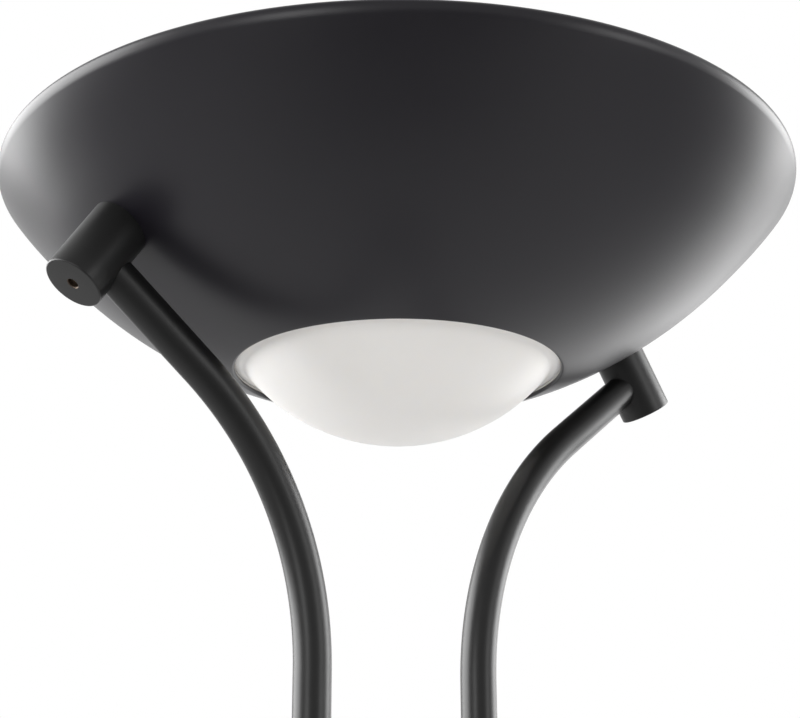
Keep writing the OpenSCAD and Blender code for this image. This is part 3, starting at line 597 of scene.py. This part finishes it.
# %% Sweep
def sweep(path, radii, steps=64):
    """Sweeps a circle along a path in the XZ plane, with a radius for each point."""
    swept = bmesh.new()
    rings = []
    side = Vector((0, 1, 0))
    around = [(math.cos(math.tau * k / steps), math.sin(math.tau * k / steps))
              for k in range(steps)]
    for i, p in enumerate(path):
        before, after = path[max(i - 1, 0)], path[min(i + 1, len(path) - 1)]
        along = (after - before).normalized()
        out = side.cross(along)
        rings.append([swept.verts.new(p + radii[i] * (c * out + s * side))
                      for c, s in around])
    for a, b in zip(rings, rings[1:]):
        for k in range(steps):
            n = (k + 1) % steps
            swept.faces.new([a[k], a[n], b[n], b[k]])
    swept.faces.new(rings[0])
    swept.faces.new(list(reversed(rings[-1])))
    return swept


print("helper: sweep")

# %% [markdown]
# ## The bowl
# The bowl is one disc of sheet that was spun over a former. Near the rim the skin turns
# upright in a soft, wide curve, which catches the light as a band, and its edge is curled
# inwards to stiffen it. To meet that turn inside the solid's own height, the skin swells
# by 0.7 mm above the barrels. The edge of the bottom opening is folded back flat. One
# closed outline holds all of this: up the outside, round the curl, down the inside and
# over the fold. The outside is black and the inside is white, so the outline's points
# also say which finish their faces take.

# %% The bowl's sizes
bowl_sphere = 0.268        # radius that the bowl is spun to
sheet = 0.0012             # thickness of the bowl's sheet
bead = 0.0029              # radius of the solid's rim, which sets the sphere's height
turn_up = 0.008            # radius of the soft turn that ends the skin upright
curl = 0.0024              # radius of the edge that is curled inwards above it
curl_end = 238             # degrees that the curl goes round to
swell_start = 0.190        # radius from which the skin swells towards the turn
opening = 0.0875           # radius of the hole in the bowl's bottom
hem = 0.006                # sheet folded back round that hole

bead_x = rim_radius - bead
bead_turn = math.asin(bead_x / (bowl_sphere - bead))
sphere_z = rim_top - bead + (bowl_sphere - bead) * math.cos(bead_turn)
lip_z = sphere_z - math.sqrt(bowl_sphere ** 2 - opening ** 2)
print(f"the bowl's sphere is centred at {sphere_z:.4f}, its opening at {lip_z:.4f}")


# %% The skin's curve
def on_sphere(radius, turn):
    """Point of a sphere about the bowl's centre, turn radians from straight down."""
    return (radius * math.sin(turn), sphere_z - radius * math.cos(turn))


curl_x, turn_x, curl_z = rim_radius - curl, rim_radius - turn_up, rim_top - curl
turn_end = math.atan2(turn_x, sphere_z - curl_z)
swell = math.hypot(turn_x, sphere_z - curl_z) + turn_up - bowl_sphere
swell_from = math.asin(swell_start / bowl_sphere)


def skin_point(turn, depth=0.0):
    """Point of the bowl's skin, or of a face at a depth under it."""
    share = min(max((turn - swell_from) / (turn_end - swell_from), 0), 1)
    return on_sphere(bowl_sphere - depth + swell * share ** 2 * (3 - 2 * share), turn)


print(f"the skin swells by {1000 * swell:.2f} mm before it turns up")

# %% Bowl outline
inside = bowl_sphere - sheet
fold_turn = math.asin((opening + sheet) / inside)
hem_turn = math.asin((opening + hem) / inside)
turn_start = math.degrees(turn_end) - 90
outside_run = [skin_point(fold_turn + (turn_end - fold_turn) * k / 72) for k in range(73)]
rim_run = arc((turn_x, curl_z), turn_up, turn_start, 0, 24)[1:]
rim_run += arc((curl_x, curl_z), curl, 0, curl_end, 36)[1:]
rim_end = arc((curl_x, curl_z), curl - sheet, curl_end, 0, 24)
rim_end += arc((turn_x, curl_z), turn_up - sheet, 0, turn_start, 16)[1:]
inside_run = [skin_point(turn_end + (hem_turn - turn_end) * k / 64, sheet)
              for k in range(1, 65)]
hem_run = [on_sphere(inside - sheet * f, hem_turn) for f in (0.15, 0.85)] + [
    on_sphere(inside - sheet, hem_turn + (fold_turn - hem_turn) * k / 4) for k in range(1, 5)]
fold_centre = on_sphere(inside, fold_turn)
fold_start = 90 + math.degrees(fold_turn)
fold_run = arc(fold_centre, sheet, fold_start, fold_start + 180, 14)[1:-1]
bowl_outline = outside_run + rim_run + rim_end + inside_run + hem_run + fold_run
white_from = len(outside_run) + len(rim_run)
white_to = len(bowl_outline) - len(fold_run) - 1
print(len(bowl_outline), "points round the bowl's sheet")

# %% Bowl
show("bowl", lathe(bowl_outline, 240,
                   finish_of=lambda i: 1 if white_from <= i < white_to else 0),
     ["bowl_paint", "bowl_enamel"], "bowl_shade")

# %% [markdown]
# ## The opal glass
# The glass is pressed: a deep cap that hangs through the opening, and a wide flange that
# rests on the fold inside. The corner between them is shallow, so it is shaded smooth.

# %% The glass's curves
glass = 0.003              # thickness of the opal glass
glass_gap = 0.007          # from the hole's edge to the glass
flange_width = 0.010       # glass that lies on the fold, beyond the hole
gasket_room = 0.0012       # for the gasket under the flange and its clearances

drop = lip_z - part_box("diffuser_dome")[0].z
glass_lip = opening - glass_gap
glass_sphere = (glass_lip ** 2 + drop ** 2) / (2 * drop)
glass_z = lip_z - drop + glass_sphere
flange_sphere = inside - sheet - gasket_room
flange_turn = math.asin((opening + flange_width) / flange_sphere)


def meet(radius_a, centre_a, radius_b, centre_b):
    """Where two circles on the axis cross: (radius, height)."""
    apart = centre_b - centre_a
    z = (apart ** 2 + radius_a ** 2 - radius_b ** 2) / (2 * apart)
    return math.sqrt(radius_a ** 2 - z ** 2), centre_a + z


def cap_point(radius, turn):
    """Point of a sphere about the glass cap's centre, turn from straight down."""
    return (radius * math.sin(turn), glass_z - radius * math.cos(turn))


print(f"the cap's sphere is {glass_sphere:.4f}, and it hangs {drop:.4f} below the opening")

# %% Glass
corner_out = meet(glass_sphere, glass_z, flange_sphere, sphere_z)
corner_in = meet(glass_sphere - glass, glass_z, flange_sphere - glass, sphere_z)
turn_out = math.atan2(corner_out[0], glass_z - corner_out[1])
turn_in = math.atan2(corner_in[0], glass_z - corner_in[1])
flange_out = math.asin(corner_out[0] / flange_sphere)
flange_in = math.asin(corner_in[0] / (flange_sphere - glass))
glass_outline = [cap_point(glass_sphere, turn_out * k / 56) for k in range(57)]
glass_outline += [on_sphere(flange_sphere, flange_out + (flange_turn - flange_out) * k / 8)
                  for k in range(1, 9)]
glass_outline += [on_sphere(flange_sphere - glass * f, flange_turn) for f in (0.25, 0.75)]
glass_outline += [on_sphere(flange_sphere - glass,
                            flange_turn + (flange_in - flange_turn) * k / 8)
                  for k in range(9)]
glass_outline += [cap_point(glass_sphere - glass, turn_in * (1 - k / 48))
                  for k in range(1, 49)]
show("opal_cap", lathe(glass_outline), ["opal_glass"], "diffuser_dome")

# %% [markdown]
# ## The tubes
# Each side is three lengths of tube, screwed end to end. The top one is bent outwards,
# so its path is a straight run, an arc and a short straight stub. The ends are chamfered
# a little, which is what makes a joint between two tubes show as a fine dark line.

# %% Tube paths
bend_radius = 0.180        # of the tubes, at their axes
bend_turn = math.radians(51.5)
bend_steps = 72
chamfer = 0.0004           # at the ends of every tube
barrel_tilt = math.radians(33)
barrel_seat = 0.167        # radius at which a barrel's axis meets the bowl
tube_entry = 0.0195        # from the bowl to the tube's axis, along the barrel
tube_depth = 0.010         # from the barrel's axis to the tube's hidden end

seat_z = sphere_z - math.sqrt(bowl_sphere ** 2 - barrel_seat ** 2)
joint_x = barrel_seat + tube_entry * math.sin(barrel_tilt)
joint_z = seat_z - tube_entry * math.cos(barrel_tilt)
stub = (joint_x - pole_x - bend_radius * (1 - math.cos(bend_turn))) / math.sin(bend_turn)
bend_z = joint_z - bend_radius * math.sin(bend_turn) - stub * math.cos(bend_turn)
print(f"a bent tube ends {1000 * (stub + tube_depth):.1f} mm past its bend")


def straight(a, b, steps):
    """Points of a straight line from a to b."""
    return [a.lerp(b, k / steps) for k in range(steps + 1)]


def tube_piece(name, path, solid):
    """Shows a tube that has a chamfer at both of its ends."""
    first, last = (path[1] - path[0]).normalized(), (path[-1] - path[-2]).normalized()
    path = [path[0], path[0] + chamfer * first] + path[1:-1] + [path[-1] - chamfer * last,
                                                               path[-1]]
    radii = [pole_radius - chamfer] + [pole_radius] * (len(path) - 2) + [pole_radius - chamfer]
    show(name, sweep(path, radii), ["tube_paint"], solid)


# %% Tubes
for side, word in ((-1, "left"), (1, "right")):
    x = side * pole_x
    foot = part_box("pole_lower_" + word)[0].z
    tube_piece("tube_lower_" + word,
               straight(Vector((x, 0, foot)), Vector((x, 0, lower_joint)), 6),
               "pole_lower_" + word)
    tube_piece("tube_middle_" + word,
               straight(Vector((x, 0, lower_joint)), Vector((x, 0, upper_joint)), 6),
               "pole_middle_" + word)
    rise = straight(Vector((x, 0, upper_joint)), Vector((x, 0, bend_z)), 5)
    turns = [bend_turn * k / bend_steps for k in range(1, bend_steps + 1)]
    bend = [Vector((side * (pole_x + bend_radius * (1 - math.cos(a))), 0,
                    bend_z + bend_radius * math.sin(a))) for a in turns]
    tip = bend[-1] + (stub + tube_depth) * Vector((side * math.sin(bend_turn), 0,
                                                   math.cos(bend_turn)))
    tube_piece("tube_arm_" + word, rise + bend + straight(bend[-1], tip, 4)[1:],
               "arm_" + word)

# %% [markdown]
# ## The barrels
# A barrel is a short turned post. Its foot is cut to the bowl's curve, so that it sits
# on the skin with no gap to be seen, and its outer end is faced flat, with a small
# rounding round it. The set screw's hole is bored there after painting, so its mouth and
# wall are bare. To cut the foot, each point of the lowest ring is pushed along the barrel
# until it lies on the bowl's sphere.

# %% Where a barrel stands
hair = 0.0001              # between the bowl's paint and the barrel's foot


def barrel_frame(side):
    """Origin, axis away from the bowl, and two directions across it."""
    origin = Vector((side * barrel_seat, 0, seat_z))
    axis = Vector((side * math.sin(barrel_tilt), 0, -math.cos(barrel_tilt)))
    across = Vector((0, 1, 0))
    return origin, axis, across, axis.cross(across)


def reach_bowl(point, axis):
    """How far along the axis from the point the bowl's skin is met."""
    gap = point - Vector((0, 0, sphere_z))
    along = gap.dot(axis)
    return -along + math.sqrt(along ** 2 - gap.length_squared + (bowl_sphere + hair) ** 2)


print(f"a barrel's axis meets the bowl at {barrel_seat:.3f}, {seat_z:.4f} high")

# %% Barrel
barrel_radius = 0.015
barrel_length = 0.040
end_edge = 0.0009                 # rounding round the barrel's flat end
screw_hole = 0.00225              # radius of the set screw's hole
hole_depth = 0.009
mouth = screw_hole + 0.0005       # radius of the wider bore at the hole's mouth
mouth_depth = 0.0022
mouth_bevel = 0.0004
mouth_step = 0.0002               # slope from the wide bore to the narrow one
mouth_ring = 0.0009               # from the mouth to the ring that keeps the face flat


def barrel(side, steps=96):
    """The barrel as rings round its own axis, with a blind hole in its flat end."""
    origin, axis, u, v = barrel_frame(side)
    rounded = arc((barrel_radius - end_edge, barrel_length - end_edge), end_edge, 0, 90, 5)
    hole = [(mouth + mouth_ring, barrel_length), (mouth + mouth_bevel, barrel_length),
            (mouth, barrel_length - mouth_bevel), (mouth, barrel_length - mouth_depth),
            (screw_hole, barrel_length - mouth_depth - mouth_step),
            (screw_hole, barrel_length - hole_depth)]
    turned = bmesh.new()
    rings = []
    around = [(math.cos(math.tau * k / steps), math.sin(math.tau * k / steps))
              for k in range(steps)]
    feet = [reach_bowl(origin + barrel_radius * (c * u + s * v), axis) for c, s in around]
    rings.append([turned.verts.new(origin + barrel_radius * (c * u + s * v) + t * axis)
                  for (c, s), t in zip(around, feet)])
    for share in (0.25, 0.5, 0.75):
        rings.append([turned.verts.new(origin + barrel_radius * (c * u + s * v)
                                       + (t + share * (barrel_length - end_edge - t)) * axis)
                      for (c, s), t in zip(around, feet)])
    for r, h in rounded + hole:
        rings.append([turned.verts.new(origin + r * (c * u + s * v) + h * axis)
                      for c, s in around])
    # The hole's faces take bored_steel, whose near-black colour is painted shade in the hole.
    bare_from = len(rings) - len(hole) + 1
    for i, (a, b) in enumerate(zip(rings, rings[1:])):
        for k in range(steps):
            n = (k + 1) % steps
            face = turned.faces.new([a[k], a[n], b[n], b[k]])
            face.material_index = 1 if i >= bare_from else 0
    turned.faces.new(rings[-1]).material_index = 1
    turned.faces.new(list(reversed(rings[0])))
    return turned


print(f"a barrel is {2000 * barrel_radius:.0f} mm across, {1000 * barrel_length:.0f} mm long")

# %% Both barrels
for side, word in ((-1, "left"), (1, "right")):
    show("barrel_post_" + word, barrel(side), ["fitting_paint", "bored_steel"],
         "barrel_" + word, crisp=30)

# %% [markdown]
# ## The base
# The cover is spun like the bowl: a flat top, a rounded shoulder and a straight side
# that is rolled in slightly at the floor.

# %% Base cover
shoulder = 0.009           # radius of the rounding at the top
cover_sheet = 0.0015
roll_in = 0.0008           # radius of the turn at the floor
side_top = base_top - 0.015                # a ring on the side, under the rounding
top_rings = (0, 0.02, 0.05, 0.09, 0.12)    # radii that divide the flat top
foot_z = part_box("base_cover")[0].z
shoulder_centre = (base_radius - shoulder, base_top - shoulder)
cover_outline = [(r, base_top) for r in top_rings]
cover_outline += arc(shoulder_centre, shoulder, 90, 0, 20)
cover_outline += [(base_radius, side_top), (base_radius, foot_z + cover_sheet)]
cover_outline += arc((base_radius - roll_in, foot_z + roll_in), roll_in, 0, -90, 5)
cover_outline += [(base_radius - cover_sheet, foot_z),
                  (base_radius - cover_sheet, foot_z + roll_in)]
cover_outline += arc(shoulder_centre, shoulder - cover_sheet, 0, 90, 12)
cover_outline += [(0.05, base_top - cover_sheet), (0, base_top - cover_sheet)]
show("base_shell", lathe(cover_outline), ["base_paint"], "base_cover")

# %% [markdown]
# ## Finishes for the solids that stay
# The small hardware keeps its own solid, which already has the right shape. Each solid
# takes the finish of its material slot in the record.

# %% Dress the solids
slots = {part["node"]: part["material_slot"] for part in frame["record"]["subparts"]}
dressed = 0
for name, solid in frame["nodes"].items():
    if solid.hide_render:
        continue
    solid.data.materials.clear()
    solid.data.materials.append(finishes[slots[name]])
    dressed += 1
print(dressed, "solids dressed")

# %% [markdown]
# ## The floor's finish
# The floor is plain and pale with a faint mottle, so that the lamp's shadow reads on it.
# In reflections it glows with painted light instead of showing its lit paint: brightest far
# behind the lamp, with painted shade at the sides and on the viewer's side, as a studio
# floor is between its lights. Seen directly it fades to plain white away from the lamp, so
# that it has no edge. From underneath it is clear, so that the foot's underside can be
# looked at.

# %% Floor paint
tree, shader = finish("floor_paint", ior=1.45, roughness=0.6)
where = node(tree, "TexCoord").outputs["Object"]
colour = between(tree, noise(tree, where, 3.0, 4.0), (0.79, 0.785, 0.775),
                 (0.83, 0.825, 0.82))
tree.links.new(colour, shader.inputs["Base Color"])
print("floor paint made")


# %% The floor's painted light in reflections
def pool(centre, reach, spread):
    """A number for the floor that goes from spread[0] at a point to spread[1] away from
    it, between the two distances in reach."""
    away = node(tree, "VectorMath", {0: where, 1: centre}, operation="DISTANCE")
    return ramp(tree, away.outputs["Value"], reach, spread)


# Pools of painted light and painted shade, which the floor gives out in reflections in place
# of light from the lamps.
painted_light_round_foot = pool(Vector((0, 0, 0)), (1.6, 4.0), (0.65, 0.22))
painted_light_far_right = pool(Vector((5.0, 3.4, 0)), (1.5, 5.0), (1.3, 0.0))
painted_light_near_back = pool(Vector((-0.6, 3.2, 0)), (0.4, 2.2), (0.35, 0.0))
viewer_shade = pool(2.2 * viewer_side, (0.3, 2.4), (0.25, 1.0))
painted_floor_light = maths(tree, "ADD", maths(tree, "ADD", painted_light_round_foot, painted_light_far_right), painted_light_near_back)
bright = maths(tree, "MULTIPLY", painted_floor_light, viewer_shade)
# The floor glows with this painted light, and only reflections see the glow.
glow = node(tree, "Emission", {"Color": (1, 1, 1, 1), "Strength": bright})
rays = node(tree, "LightPath").outputs
both = node(tree, "MixShader", {0: rays["Is Glossy Ray"], 1: shader.outputs[0],
                                2: glow.outputs[0]})
print("floor's glow in reflections made")

# %% The floor as the camera sees it
paper = node(tree, "Emission", {"Color": (1, 1, 1, 1), "Strength": 1.0})
fade = maths(tree, "MULTIPLY", pool(Vector((0, 0, 0)), (0.7, 3.0), (0.0, 1.0)),
             rays["Is Camera Ray"])
seen = node(tree, "MixShader", {0: fade, 1: both.outputs[0], 2: paper.outputs[0]})
under = maths(tree, "MULTIPLY", node(tree, "NewGeometry").outputs["Backfacing"],
              rays["Is Camera Ray"])
glassy = node(tree, "BsdfTransparent", {"Color": (1, 1, 1, 1)})
whole = node(tree, "MixShader", {0: under, 1: seen.outputs[0], 2: glassy.outputs[0]})
tree.links.new(whole.outputs[0], tree.nodes["Material Output"].inputs["Surface"])
floor.data.materials.append(finishes["floor_paint"])
print("floor painted")
